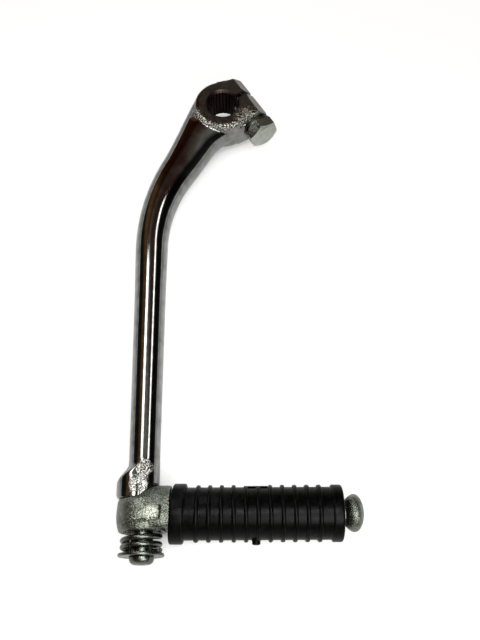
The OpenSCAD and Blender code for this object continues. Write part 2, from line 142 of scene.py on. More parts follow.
def blendColours(tree, factor, first, second):
    node = addNode(tree, "ShaderNodeMix", {"data_type": "RGBA"})
    tree.links.new(factor, node.inputs["Factor"])
    for name, colour in (("A", first), ("B", second)):
        socket = [s for s in node.inputs if s.name == name and s.type == "RGBA"][0]
        if isinstance(colour, bpy.types.NodeSocket):
            tree.links.new(colour, socket)
        else:
            socket.default_value = (*colour, 1)
    return [s for s in node.outputs if s.type == "RGBA"][0]


# 1 within the inner distance of a point, 0 past the outer one
def nearness(tree, where, centre, inner, outer):
    node = addNode(tree, "ShaderNodeVectorMath", {"operation": "DISTANCE"})
    tree.links.new(where, node.inputs[0])
    node.inputs[1].default_value = [c * mm for c in centre]
    return remap(tree, node.outputs["Value"], inner * mm, outer * mm, 1, 0)


def objectPlace(tree):
    return addNode(tree, "ShaderNodeTexCoord").outputs["Object"]


def bump(tree, height, strength, distance, below=None):
    node = addNode(tree, "ShaderNodeBump", Height=height, Strength=strength, Distance=distance)
    if below is not None:
        tree.links.new(below, node.inputs["Normal"])
    return node.outputs["Normal"]


def closeMaterial(material, tree, **values):
    surface = addNode(tree, "ShaderNodeBsdfPrincipled", **values)
    output = addNode(tree, "ShaderNodeOutputMaterial")
    tree.links.new(surface.outputs["BSDF"], output.inputs["Surface"])
    return material


# Chrome of the arm: a little wavy, its base darkened as painted shade, painted sparks coarse on the lip, the
# lug and the collar, painted shade inside the bore
chromeSet = {
    # darker than chrome: a painted shade, for the shaded floor that it would reflect
    "colour": (0.33, 0.345, 0.34),
    "stain": (0.2, 0.195, 0.18),
    "stainScale": 260,
    "stainFrom": (0.35, 0.75),
    "rough": (0.06, 0.13),
    "grainScale": 4000,
    "waveScale": 70,
    "waveStrength": 0.35,
    "waveDepth": 0.00008,
    "paintedSparks": (1, 1, 0.9),
    "paintedShadeBetweenSparks": (0.1, 0.1, 0.085),                       # painted shade between the painted sparks
    "sparkFrom": (0.5, 0.58),
    "sparkRough": 0.42,
    "pitScale": 1500,
    "pitDepth": 0.0005,
    "pitBase": 0.03,                                     # pits outside the sparkling places
    # painted shade inside the bore
    "boreShadeColour": (0.05, 0.03, 0.03),
    "boreRough": 0.3,
    "boreEdge": (8.4, 8.9),                              # inside this radius it counts as bore
    "lipR": 13.4,
    "lipW": (0.7, 1.6),
    "lipY": (-8, -3),
    "high": (4.5, 6.5),                                  # painted sparks on the clamp above this height only
    "lug": ((12.5, -9, 7), 5, 9),                        # each a centre, an inner and an outer distance
    "side": ((-13, -5, 7), 1, 4),
    "collar": ((-33.4, -180.6, 3.5), 1.5, 3.8),
    "lobe": ((-35.5, -187.5, 4.5), 2, 5.2),
    "lobeShare": 0.4,
}


# Where sparks of light are painted on the plating, from 0 to 1
def paintedSparkZone(tree, place, parts, radial):
    s = chromeSet
    fromLip = maths(tree, "ABSOLUTE", maths(tree, "SUBTRACT", radial, s["lipR"] * mm), 0)
    lip = remap(tree, fromLip, s["lipW"][0] * mm, s["lipW"][1] * mm, 1, 0)
    lower = remap(tree, parts.outputs["Y"], s["lipY"][0] * mm, s["lipY"][1] * mm, 1, 0)
    lip = maths(tree, "MULTIPLY", lip, lower)
    lug = maths(tree, "MAXIMUM", nearness(tree, place, *s["lug"]), nearness(tree, place, *s["side"]))
    high = remap(tree, parts.outputs["Z"], s["high"][0] * mm, s["high"][1] * mm, 0, 1)
    zone = maths(tree, "MULTIPLY", maths(tree, "MAXIMUM", lip, lug), high)
    zone = maths(tree, "MAXIMUM", zone, nearness(tree, place, *s["collar"]))
    lobe = maths(tree, "MULTIPLY", nearness(tree, place, *s["lobe"]), s["lobeShare"])
    return maths(tree, "MAXIMUM", zone, lobe)


def chromeMaterial():
    s = chromeSet
    material, tree = blankMaterial("chrome_worn_with_painted_light")
    place = objectPlace(tree)
    parts = addNode(tree, "ShaderNodeSeparateXYZ", Vector=place)
    squares = [maths(tree, "MULTIPLY", parts.outputs[k], parts.outputs[k]) for k in ("X", "Y")]
    radial = maths(tree, "SQRT", maths(tree, "ADD", squares[0], squares[1]), 0)
    zone = paintedSparkZone(tree, place, parts, radial)
    wave = noise(tree, place, s["waveScale"], 2)
    pits = noise(tree, place, s["pitScale"], 4, 0.6)
    grain = noise(tree, place, s["grainScale"], 2)
    patches = noise(tree, place, s["stainScale"], 3)
    colour = blendColours(tree, remap(tree, patches, *s["stainFrom"], 0, 1), s["colour"], s["stain"])
    # painted shade: the bore's inside and its mouths darkened
    inside = remap(tree, radial, s["boreEdge"][0] * mm, s["boreEdge"][1] * mm, 1, 0)
    colour = blendColours(tree, inside, colour, s["boreShadeColour"])
    # painted highlights: near-white spots, with darker painted shade between them
    lit = remap(tree, pits, *s["sparkFrom"], 0, 1)
    paintedSparkColours = blendColours(tree, lit, s["paintedShadeBetweenSparks"], s["paintedSparks"])
    colour = blendColours(tree, zone, colour, paintedSparkColours)
    rough = remap(tree, grain, *grainRange, *s["rough"])
    sparkRough = maths(tree, "MULTIPLY", maths(tree, "MULTIPLY", zone, lit), s["sparkRough"])
    rough = maths(tree, "ADD", rough, sparkRough)
    rough = maths(tree, "ADD", rough, maths(tree, "MULTIPLY", inside, s["boreRough"]))
    soft = bump(tree, wave, s["waveStrength"], s["waveDepth"])
    pitted = maths(tree, "MULTIPLY", pits, maths(tree, "ADD", zone, s["pitBase"]))
    coarse = bump(tree, pitted, 1.0, s["pitDepth"], soft)
    return closeMaterial(material, tree, Base_Color=colour, Metallic=1.0, Roughness=rough, Normal=coarse)


# Plated and turned metals: two colours that come in patches, roughness, scale and depth of the grain, and on
# the pedal a painted glint
metalSet = {
    "zinc_rough": {
        "light": (0.28, 0.31, 0.26), "dark": (0.11, 0.12, 0.1), "rough": (0.18, 0.34),
        "grain": 1500, "depth": 0.0004,
        "paintedGlint": ((-30, -199.2, 7.6), 1.4, 3.6),         # a painted glint on the flat of the eye
    },
    "steel_bright": {
        "light": (0.2, 0.215, 0.19), "dark": (0.1, 0.108, 0.095), "rough": (0.18, 0.34),
        "grain": 1800, "depth": 0.0001,
    },
    "zinc_bolt": {
        "light": (0.6, 0.635, 0.57), "dark": (0.42, 0.45, 0.4), "rough": (0.1, 0.2),
        "grain": 1800, "depth": 0.00012,
    },
    "paintedGlintColour": (0.52, 0.56, 0.47),
    "patchScale": 300,
}


def metalMaterial(name):
    s = metalSet[name]
    material, tree = blankMaterial(name)
    place = objectPlace(tree)
    patches = noise(tree, place, metalSet["patchScale"], 4, 0.6)
    grain = noise(tree, place, s["grain"], 4, 0.6)
    colour = blendColours(tree, remap(tree, patches, *grainRange, 0, 1), s["light"], s["dark"])
    if "paintedGlint" in s:
        # painted highlight on the eye's flat
        colour = blendColours(tree, nearness(tree, place, *s["paintedGlint"]), colour, metalSet["paintedGlintColour"])
    rough = remap(tree, grain, *grainRange, *s["rough"])
    return closeMaterial(material, tree, Base_Color=colour, Metallic=1.0, Roughness=rough,
                         Normal=bump(tree, grain, 0.8, s["depth"]))


# Rubber: black, with a little dust
rubberSet = {
    "colour": (0.0006, 0.0006, 0.0006),
    "dusty": (0.003, 0.003, 0.003),
    "dustScale": 420,
    "dustFrom": (0.45, 0.8),
    "rough": (0.24, 0.42),
    "shine": 0.09,
    "grainScale": 2600,
    "grainDepth": 0.00008,
}


def rubberMaterial():
    s = rubberSet
    material, tree = blankMaterial("rubber_black")
    place = objectPlace(tree)
    dust = noise(tree, place, s["dustScale"], 4, 0.6)
    grain = noise(tree, place, s["grainScale"], 3)
    colour = blendColours(tree, remap(tree, dust, *s["dustFrom"], 0, 1), s["colour"], s["dusty"])
    rough = remap(tree, dust, *grainRange, *s["rough"])
    return closeMaterial(material, tree, Base_Color=colour, Roughness=rough, Specular_IOR_Level=s["shine"],
                         Normal=bump(tree, grain, 0.5, s["grainDepth"]))


# Mesh helpers, all in millimetres until a piece is finished
def keepMesh(bm, name):
    mesh = bpy.data.meshes.new(name)
    bm.to_mesh(mesh)
    bm.free()
    obj = bpy.data.objects.new(name, mesh)
    bpy.context.scene.collection.objects.link(obj)
    return obj


def applyModifiers(obj):
    graph = bpy.context.evaluated_depsgraph_get()
    made = bpy.data.meshes.new_from_object(obj.evaluated_get(graph))
    obj.modifiers.clear()
    obj.data = made


def combine(obj, other, operation):
    tool = obj.modifiers.new("tool", "BOOLEAN")
    tool.operation = operation
    tool.solver = "MANIFOLD"
    tool.object = other
    applyModifiers(obj)
    bpy.data.objects.remove(other)


def easeForm(obj, rounds):
    eased = obj.modifiers.new("eased", "SMOOTH")
    eased.factor = 0.5
    eased.iterations = rounds
    applyModifiers(obj)


# Melts joined forms together, with their edges eased as on a forging
def meltForms(obj, voxel, rounds):
    skin = obj.modifiers.new("skin", "REMESH")
    skin.mode = "VOXEL"
    skin.voxel_size = voxel
    easeForm(obj, rounds)


# Raises a grain where depthAt(point) is above nothing, for the rough plating
def roughen(obj, depthAt, size):
    bm = bmesh.new()
    bm.from_mesh(obj.data)
    bm.normal_update()
    moves = [(v, v.normal * depthAt(v.co) * grainAt(v.co / size)) for v in bm.verts]
    for vert, move in moves:
        vert.co += move
    bm.to_mesh(obj.data)
    bm.free()


# 1 within the inner distance of the centre, 0 past the outer one
def fade(at, centre, inner, outer):
    return min(1, max(0, (outer - (at - Vector(centre)).length) / (outer - inner)))


def onlyVerts(geometry):
    return [g for g in geometry if isinstance(g, bmesh.types.BMVert)]


def cleanUp(bm):
    bmesh.ops.remove_doubles(bm, verts=bm.verts, dist=0.002)
    bmesh.ops.recalc_face_normals(bm, faces=bm.faces)


# A closed piece turned round local +Z from its outline of (radius, height) points
def revolve(points, place=home, steps=128):
    bm = bmesh.new()
    line = [bm.verts.new((r, 0, z)) for r, z in points]
    for first, second in zip(line, line[1:]):
        bm.edges.new((first, second))
    bmesh.ops.spin(bm, geom=bm.verts[:] + bm.edges[:], cent=(0, 0, 0), axis=(0, 0, 1), angle=2 * pi,
                   steps=steps, use_merge=True)
    bmesh.ops.transform(bm, matrix=place, verts=bm.verts)
    cleanUp(bm)
    return bm


def rod(radius, low, high, place=home, steps=96):
    return revolve([(0, low), (radius, low), (radius, high), (0, high)], place, steps)


# A ring that is closed through its hole, from an outline that goes once round its section
def ringOf(outline, place=home, steps=128):
    return revolve(outline + outline[:1], place, steps)


# Points of an edge rounding about (radius, height), from one angle to another in degrees
def roundTo(radius, height, size, start, end, steps=5):
    turns = [radians(start + (end - start) * k / steps) for k in range(steps + 1)]
    return [(radius + size * cos(t), height + size * sin(t)) for t in turns]


# A straight block over an outline of (x, y) points, from one height to another
def prism(corners, low, high, place=home):
    bm = bmesh.new()
    base = bm.faces.new([bm.verts.new((x, y, low)) for x, y in corners])
    raised = bmesh.ops.extrude_face_region(bm, geom=[base])["geom"]
    bmesh.ops.translate(bm, vec=(0, 0, high - low), verts=onlyVerts(raised))
    bmesh.ops.transform(bm, matrix=place, verts=bm.verts)
    cleanUp(bm)
    return bm


# A skin drawn through rings: ringPoint(station, angle) gives each point
def sweep(ringPoint, stations, count):
    bm = bmesh.new()
    ring = bmesh.ops.create_circle(bm, cap_ends=True, segments=count, radius=1)["verts"]
    angles = {v: k * 2 * pi / count for k, v in enumerate(ring)}
    edges = bm.edges[:]
    for k, station in enumerate(stations):
        if k:
            grown = bmesh.ops.extrude_edge_only(bm, edges=edges)["geom"]
            edges = [g for g in grown if isinstance(g, bmesh.types.BMEdge)]
            edges = [e for e in edges if not any(v in angles for v in e.verts)]
            fresh = {}
            for vert in onlyVerts(grown):
                old = next(e.other_vert(vert) for e in vert.link_edges if e.other_vert(vert) in angles)
                fresh[vert] = angles[old]
            angles = fresh
        for vert, angle in angles.items():
            vert.co = ringPoint(station, angle)
    bmesh.ops.holes_fill(bm, edges=edges, sides=count)
    bmesh.ops.recalc_face_normals(bm, faces=bm.faces)
    return bm


def finishPiece(obj, body, material, nodes, sharp=32):
    bm = bmesh.new()
    bm.from_mesh(obj.data)
    bmesh.ops.scale(bm, vec=(mm, mm, mm), verts=bm.verts)
    bm.to_mesh(obj.data)
    bm.free()
    for face in obj.data.polygons:
        face.use_smooth = True
    obj.data.set_sharp_from_angle(angle=radians(sharp))
    obj.data.materials.clear()
    obj.data.materials.append(material)
    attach(obj, body)
    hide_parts(*nodes)
    print(obj.name, "made,", len(obj.data.polygons), "faces")


def along(a, b, k):
    return a + (b - a) * k


def ease(k):
    return k * k * (3 - 2 * k)


def power(value, exponent):
    return abs(value) ** exponent * (1 if value >= 0 else -1)


# Arm
armSet = {
    "boreR": 7.45, "grooveDepth": 0.6, "grooves": 28, "boreChamfer": 0.5,
    "bossR": 14.2, "bossHalf": 9, "faceRound": 1.8, "backRound": 2.4,
    "slotDir": 31, "slotW": 2.4, "earReach": 17.2, "earUpper": 10.8, "earLower": 13.9, "earBevel": 4.6,
    "boltOff": 11.6, "boltDrop": 1.2, "spotR": 8.9, "boltHoleR": 4.3,
    "neckAngle": 30, "neckOff": 3.2, "bendR": 86, "innerW": 10.9, "outerW": 13.4, "neckT": 8.2,
    "neckRise": 2.1, "neckSquare": 0.8, "bendW": 9.1, "bendT": 8.4, "webFlare": 12, "webLen": 22,
    "rootRun": 7, "rootShare": 0.62,
    "shankTopR": 7.5, "shankMidR": 7.05, "taperLen": 26, "shankLowR": 6.35,
    "endZ": -11.4, "lobeR": 11.1, "lobeLow": -5.8, "lobeH": 6, "lobeFlare": 9, "lobeRound": 1.8,
    "lobeSide": 2, "lobeBack": 20, "gap": 0.3, "rampGap": 0.4,
    "voxel": 0.34, "rounds": 7, "collarVoxel": 0.28, "collarRounds": 20,
    "lobeAside": -4.2, "stubLen": 22, "stubOver": 0.13,
    "grainSize": 0.4, "grainDepth": 0.34, "grainUp": 4, "lipGrain": (0.6, 1.7), "lipDown": (2, 5),
    "lugGrain": ((12.5, -9, 7), 4, 8), "sideGrain": ((-13, -5, 8), 2, 5), "sideShare": 0.7,
    "faceUp": 8, "faceShare": 0.18,
    "collarUp": 2, "neckGrain": ((-33.4, -180.6, 3.5), 2, 4), "lobeGrain": ((-35, -187, 4), 4, 8),
    "lobeShare": 0.12,
}

slotTurn = Matrix.Rotation(radians(armSet["slotDir"]), 4, "Z")
boltFrame = (slotTurn @ Matrix.Translation((armSet["boltOff"], 0, -armSet["boltDrop"]))
             @ Matrix.Rotation(radians(90), 4, "X"))
frontSlice = pivotFrame @ Matrix(((1, 0, 0, 0), (0, 0, 1, 0), (0, 1, 0, 0), (0, 0, 0, 1)))


# Where the neck starts, how long the neck and the bend are, and where the bend ends
def armLine():
    s = armSet
    turn = radians(s["neckAngle"])
    start = Vector((-s["neckOff"] * cos(turn), s["neckOff"] * sin(turn)))
    tangent = s["bendR"] * tan(turn / 2)
    corner = (-shankX + start.x) / sin(turn)
    return start, corner - tangent, s["bendR"] * turn, start.y - corner * cos(turn) - tangent


armStart, neckLen, bendLen, bendEndY = armLine()


def armRing(run, angle, thinner=0):
    s = armSet
    full = radians(s["neckAngle"])
    onNeck = max(0, run)
    neckLeft = max(0, 1 - onNeck / neckLen)
    left = min(1, max(0, 1 - (run - neckLen) / bendLen))
    turn = full * left
    if run < neckLen:
        centre = armStart + run * Vector((-sin(full), -cos(full)))
        side = (s["innerW"], neckLeft) if cos(angle) > 0 else (s["outerW"], neckLeft ** 1.25)
        wide = along(s["bendW"], side[0], side[1])
        thick = along(s["bendT"], s["neckT"], neckLeft)
    elif run < neckLen + bendLen:
        centre = Vector((shankX + s["bendR"] * (1 - cos(turn)), bendEndY + s["bendR"] * sin(turn)))
        wide = along(s["shankTopR"], s["bendW"], left ** 1.7)
        thick = along(s["shankTopR"], s["bendT"], left ** 1.7)
    else:
        down = run - neckLen - bendLen
        centre = Vector((shankX, bendEndY - down))
        quick = along(s["shankTopR"], s["shankMidR"], down / s["taperLen"])
        rest = bendEndY - pivotY + s["endZ"] - s["taperLen"]
        slow = along(s["shankMidR"], s["shankLowR"], (down - s["taperLen"]) / rest)
        wide = thick = quick if down < s["taperLen"] else slow
    share = along(1, s["rootShare"], -run / s["rootRun"]) if run < 0 else 1
    web = s["webFlare"] * (max(0, s["webLen"] - onNeck) / s["webLen"]) ** 2
    wide = wide + web * share if cos(angle) > 0 else wide * share
    square = along(1, s["neckSquare"], neckLeft)
    x = power(cos(angle), square) * (wide - thinner)
    z = power(sin(angle), square) * (thick - thinner) + s["neckRise"] * ease(neckLeft)
    return Vector((centre.x + x * cos(turn), centre.y - x * sin(turn), planeZ + z))


def spread(low, high, count):
    return [along(low, high, k / count) for k in range(count + 1)]


def makeClampForm():
    s = armSet
    half = s["bossHalf"]
    back, face = s["backRound"], s["faceRound"]
    outline = [(0, -half)] + roundTo(s["bossR"] - back, -half + back, back, -90, 0)
    outline += roundTo(s["bossR"] - face, half - face, face, 0, 90) + [(0, half)]
    form = keepMesh(revolve(outline), "arm")
    b = s["earBevel"]
    reach = s["earReach"]
    section = [(0, -half), (reach - b, -half), (reach, -half + b)]
    section += [(x, -y) for x, y in reversed(section)]
    ears = prism(section, -s["earUpper"], s["earLower"], slotTurn @ Matrix.Rotation(radians(90), 4, "X"))
    corner = Vector((reach - b, s["earUpper"]))
    touch = atan2(corner.y, corner.x) + acos(s["bossR"] / corner.length)
    filled = [(0, 0), (corner.x, 0), tuple(corner), (s["bossR"] * cos(touch), s["bossR"] * sin(touch))]
    stub = sweep(lambda run, angle: armRing(run, angle, 0.1), spread(-s["rootRun"], 44, 40), 96)
    combine(form, keepMesh(ears, "ears"), "UNION")
    combine(form, keepMesh(prism(filled, -half + 0.4, half - 0.4, slotTurn), "filled"), "UNION")
    combine(form, keepMesh(stub, "stub"), "UNION")
    meltForms(form, s["voxel"], s["rounds"])
    roughen(form, clampGrain, s["grainSize"])
    return form


# How deep the rough plating is over the clamp: most on the lip and the lug, a little on the face
def clampGrain(at):
    s = armSet
    if at.z < s["grainUp"]:
        return 0
    inward, width = s["lipGrain"]
    down, run = s["lipDown"]
    lip = max(0, 1 - abs(Vector((at.x, at.y)).length - s["bossR"] + inward) / width)
    lip *= min(1, max(0, (-at.y - down) / run))
    lug = max(fade(at, *s["lugGrain"]), s["sideShare"] * fade(at, *s["sideGrain"]))
    return s["grainDepth"] * max(lip, lug, s["faceShare"] if at.z > s["faceUp"] else 0)


# The arm's side of the slanted step; moved aside by a clearance, it is what the pedal leaves free
def rampBlock(shift):
    s = armSet
    far = 2 * s["lobeR"]
    low = -s["lobeSide"] + s["gap"] + shift
    high = s["shankLowR"] - 0.7 + shift
    corners = [(-far, s["endZ"] - 0.5), (high + 0.5, s["endZ"] - 0.5), (high, s["endZ"]), (low, s["lobeLow"]),
               (low - 1, s["lobeLow"] + 1), (-far, s["lobeLow"] + 1)]
    return prism(corners, 0, far, frontSlice)


# The side on which the half collar stands
def lobeSide(grow, low, high):
    s = armSet
    far = 2 * s["lobeR"]
    edge = -s["lobeSide"] + grow
    back = tan(radians(s["lobeBack"]))
    corners = [(edge, far), (-far, far), (-far, -far * back), (edge, -s["lobeSide"] * back)]
    return prism(corners, low, high, pivotFrame)


def makeCollarForm():
    s = armSet
    top = s["lobeLow"] - s["lobeH"]
    flare = top - s["lobeFlare"]
    inner = s["shankLowR"] - 0.1
    outline = [(0, flare)]
    outline += [(along(inner, s["lobeR"], ease(k / 12)), flare + s["lobeFlare"] * k / 12) for k in range(13)]
    outline += roundTo(s["lobeR"] - s["lobeRound"], s["lobeLow"] - s["lobeRound"], s["lobeRound"], 0, 90)
    form = keepMesh(revolve(outline + [(0, s["lobeLow"])], pivotFrame), "collar")
    combine(form, keepMesh(lobeSide(0, flare - 1, s["lobeLow"] + 1), "side"), "INTERSECT")
    aside = s["lobeR"] + s["lobeAside"]
    front = [(s["lobeAside"] - aside * cos(radians(t)), aside * sin(radians(t))) for t in spread(0, 180, 36)]
    front = [(-30, 0)] + front + [(30, 0), (30, 30), (-30, 30)]
    combine(form, keepMesh(prism(front, flare - 2, s["lobeLow"] + 2, pivotFrame), "front"), "DIFFERENCE")
    tongue = keepMesh(rod(inner, s["endZ"] - 0.5, s["lobeLow"], pivotFrame), "tongue")
    combine(tongue, keepMesh(rampBlock(0), "ramp"), "INTERSECT")
    stub = rod(s["shankLowR"] + s["stubOver"], -s["stubLen"], s["endZ"], pivotFrame)
    combine(form, keepMesh(stub, "stub"), "UNION")
    combine(form, tongue, "UNION")
    meltForms(form, s["collarVoxel"], s["collarRounds"])
    roughen(form, collarGrain, s["grainSize"])
    return form


# How deep the rough plating is over the collar: most where the shank meets it
def collarGrain(at):
    s = armSet
    if at.z < planeZ + s["collarUp"]:
        return 0
    return s["grainDepth"] * max(fade(at, *s["neckGrain"]), s["lobeShare"] * fade(at, *s["lobeGrain"]))


def makeArm(material):
    s = armSet
    end = neckLen + bendLen + bendEndY - pivotY + s["endZ"]
    stations = spread(4, neckLen, 24)[:-1] + spread(neckLen, neckLen + bendLen, 36)[:-1]
    stations += spread(neckLen + bendLen, end, 50)
    arm = makeClampForm()
    combine(arm, keepMesh(sweep(armRing, stations, 128), "bar"), "UNION")
    combine(arm, makeCollarForm(), "UNION")
    for cutter in boreCutters() + boltCutters():
        combine(arm, keepMesh(cutter, "cutter"), "DIFFERENCE")
    journal = rod(jointSet["pinR"] + jointSet["pinGap"], s["endZ"], 0, pivotFrame)
    combine(arm, keepMesh(journal, "journal"), "DIFFERENCE")
    finishPiece(arm, "lever", material, ["arm"])


# The grooved hole, its two chamfered mouths and the slot
def boreCutters():
    s = armSet
    half = s["bossHalf"]
    deep = s["boreR"] + s["grooveDepth"]
    perGroove = 6
    bm = bmesh.new()
    count = s["grooves"] * perGroove
    ring = bmesh.ops.create_circle(bm, cap_ends=True, segments=count, radius=s["boreR"])["verts"]
    for k, vert in enumerate(ring):
        if k % perGroove == 0:
            vert.co *= deep / s["boreR"]
        vert.co.z = -half - 1
    raised = bmesh.ops.extrude_face_region(bm, geom=bm.faces[:])["geom"]
    bmesh.ops.translate(bm, vec=(0, 0, 2 * half + 2), verts=onlyVerts(raised))
    bmesh.ops.recalc_face_normals(bm, faces=bm.faces)
    mouths = []
    for sign in (1, -1):
        start = sign * (half - s["grooveDepth"] - s["boreChamfer"])
        end = sign * (half + 1)
        wide = deep + s["boreChamfer"] + 1
        mouths.append(revolve([(0, start), (s["boreR"], start), (wide, end), (0, end)]))
    gap = s["slotW"] / 2
    reach = s["earReach"] + 1
    slot = prism([(0, -gap), (reach, -gap), (reach, gap), (0, gap)], -half - 1, half + 1, slotTurn)
    return [bm] + mouths + [slot]


# The bolt's hole through the lower ear, its thread in the upper one and the spot face under its head
def boltCutters():
    s = armSet
    thread = boltSet["r"] + fit
    return [rod(s["boltHoleR"], 0, 20, boltFrame), rod(thread, -20, 0, boltFrame),
            rod(s["spotR"], s["earLower"], 40, boltFrame)]


# Pinch bolt and its split washer
boltSet = {
    "r": 4, "across": 14, "head": 5.6, "turn": 45, "tip": 0.8, "lock": 2.2, "lockR": 7.3, "lockGap": 1.2,
    "pitch": 1.25, "thread": 0.45, "ease": 0.9,
}


def makeBolt(material):
    b = boltSet
    tip = -armSet["earUpper"] + b["tip"]
    seat = armSet["earLower"] + b["lock"]
    end = seat + b["head"]
    root = b["r"] - b["thread"]
    outline = [(0, tip), (root - 0.4, tip)]
    turns = int((5 - tip) / b["pitch"])
    for k in range(turns):
        foot = tip + 0.5 + k * b["pitch"]
        outline += [(root, foot), (b["r"], foot + b["pitch"] * 0.45), (b["r"], foot + b["pitch"] * 0.6)]
    outline += [(b["r"], seat + 0.5), (0, seat + 0.5)]
    bolt = keepMesh(revolve(outline, boltFrame, 64), "pinch_bolt_detail")
    corner = b["across"] / 2 / cos(radians(30))
    turned = [radians(60 * k + b["turn"]) for k in range(6)]
    hexagon = [(corner * cos(t), corner * sin(t)) for t in turned]
    head = keepMesh(prism(hexagon, seat, end, boltFrame), "head")
    edge = b["across"] / 2 - b["ease"]
    wide = corner + 1
    crown = [(0, seat - 1), (wide, seat - 1), (wide, end - (wide - edge) * tan(radians(30)))]
    crown += [(edge, end - 0.25), (edge - 0.25, end - 0.05), (edge - 0.5, end), (0, end)]
    combine(head, keepMesh(revolve(crown, boltFrame), "crown"), "INTERSECT")
    combine(bolt, head, "UNION")
    finishPiece(bolt, "lever", material, ["pinch_bolt"], 28)


# A wire or bar of rounded section, led round an axis
def ledRound(place, section, path, stations, count):
    def point(station, angle):
        radius, height, turn = path(station)
        across, up = section(angle)
        return place @ Vector(((radius + across) * cos(turn), (radius + across) * sin(turn), height + up))
    return sweep(point, stations, count)


def makeLockWasher(material):
    b = boltSet
    inner = b["r"] + 0.05
    middle = (inner + b["lockR"]) / 2
    half = (b["lockR"] - inner) / 2
    gap = b["lockGap"] / 2 / middle
    start = radians(b["turn"])

    def section(angle):
        return power(cos(angle), 0.35) * half, power(sin(angle), 0.35) * b["lock"] / 2

    def path(turn):
        return middle, armSet["earLower"] + b["lock"] / 2, start + turn

    ring = ledRound(boltFrame, section, path, spread(gap, 2 * pi - gap, 72), 32)
    finishPiece(keepMesh(ring, "lock_washer_detail"), "lever", material, ["lock_washer"], 40)


# Pin, spring and washer of the joint
jointSet = {
    "pinR": 4.5, "pinGap": 0.05, "stemR": 4, "stemLen": 16, "headR": 5, "headH": 3,
    "washer": 1.3, "washerR": 9.3, "washerPlay": 0.25,
    "wire": 2.2, "coilR": 7.4, "springH": 7.9, "turns": 2.05, "start": -12, "drop": 0.77, "shift": -0.3,
    "eyeDown": 7.5,
}


def makePin(material):
    j = jointSet
    top = armSet["endZ"]
    head = j["eyeDown"] + j["springH"] + j["washer"]
    dome = j["headH"] * 0.75
    outline = [(0, top - j["stemLen"] + 1), (j["stemR"] - 0.5, top - j["stemLen"] + 1)]
    outline += [(j["stemR"], top - j["stemLen"] + 2), (j["stemR"], top), (j["pinR"], top), (j["pinR"], head)]
    outline += [(j["headR"] - 0.3, head), (j["headR"], head + 0.3)]
    outline += roundTo(j["headR"] - dome, head + j["headH"] - dome, dome, 0, 78, 8)
    tip = head + j["headH"]
    outline += [(1.6, tip - 0.02), (1.3, tip - 0.2), (0, tip - 0.35)]
    pin = keepMesh(revolve(outline, pivotFrame), "pivot_pin_detail")
    finishPiece(pin, "lever", material, ["pivot_pin"])


def makeSpring(material):
    j = jointSet
    rise = j["springH"] - j["wire"] - 0.06
    place = pivotFrame @ Matrix.Translation((j["shift"], 0, 0))

    def section(angle):
        return j["wire"] / 2 * cos(angle), j["wire"] / 2 * sin(angle)

    def path(share):
        height = j["eyeDown"] + fit + j["wire"] / 2 + rise * share ** j["drop"]
        return j["coilR"], height, radians(j["start"] + 360 * j["turns"] * share)

    coil = keepMesh(ledRound(place, section, path, spread(0, 1, 150), 20), "joint_spring_detail")
    finishPiece(coil, "lever", material, ["joint_spring"], 50)


def makeSeatWasher(material):
    j = jointSet
    low = j["eyeDown"] + j["springH"] + 0.02
    high = low + j["washer"] - 0.07
    inner = j["pinR"] + 0.3
    outline = [(inner, low + 0.15), (inner + 0.15, low)]
    outline += roundTo(j["washerR"] - 0.45, low + 0.45, 0.45, -90, 0)
    outline += roundTo(j["washerR"] - 0.25, high - 0.25, 0.25, 0, 90)
    outline += [(inner + 0.15, high), (inner, high - 0.15)]
    place = pivotFrame @ Matrix.Translation((-j["washerPlay"], 0, 0))
    washer = keepMesh(ringOf(outline, place), "seat_washer_detail")
    finishPiece(washer, "lever", material, ["seat_washer"])


# Pedal: eye, shoulder with its step, bar and knob
pedalSet = {
    "eyeR": 10.7, "eyeUp": 5.5, "eyeBarrel": 1.2, "eyeMiddle": 1, "shoulderR": 11.3, "shoulderLow": 6.3,
    "humpUp": 11.1, "humpBack": 60, "droop": 0.7, "gripStart": 11.6, "gripLen": 69.2, "barR": 7, "lip": 1.6,
    "neckR": 5, "knobR": 7.55, "knobLen": 7.8,
    "voxel": 0.3, "rounds": 8, "flatRounds": 7, "creaseRounds": 1,
    "flatTo": (0.9, 7.9), "flatUp": (-1.75, 3.65), "flatDepth": 0.35,
    "creaseTo": (-6.5, 7.5), "creaseDown": 4.6, "creaseSlope": 0.1, "creaseHalf": 0.7, "creaseDepth": 0.6,
    "grainDepth": 0.16, "grainUp": 4, "grainLeast": 0.1, "grainRun": (6, 4), "grainShare": 0.5,
}
pedalFrame = (Matrix.Translation(pivot) @ Matrix.Rotation(radians(-pedalSet["droop"]), 4, "Z")
              @ Matrix.Rotation(radians(90), 4, "Y"))


# The part of the shoulder that stands beside the collar, cut away where the collar and its step are
def makeHump():
    p = pedalSet
    s = armSet
    far = 2 * s["lobeR"]
    back = radians(p["humpBack"])
    outline = [(0, 0), (far * cos(back), -far * sin(back)), (far, 0), (far, far), (-far, far)]
    hump = keepMesh(prism(outline, -p["humpUp"], 0, pivotFrame), "hump")
    combine(hump, keepMesh(rampBlock(s["rampGap"]), "ramp"), "DIFFERENCE")
    combine(hump, keepMesh(lobeSide(s["gap"], -p["eyeUp"] - far, -p["eyeUp"]), "beside"), "DIFFERENCE")
    return hump


# Moves a form's points, which change(point) takes and gives back in the frame of the pin
def reshape(obj, change):
    back = pivotFrame.inverted()
    bm = bmesh.new()
    bm.from_mesh(obj.data)
    for vert in bm.verts:
        vert.co = pivotFrame @ change(back @ vert.co)
    bm.to_mesh(obj.data)
    bm.free()


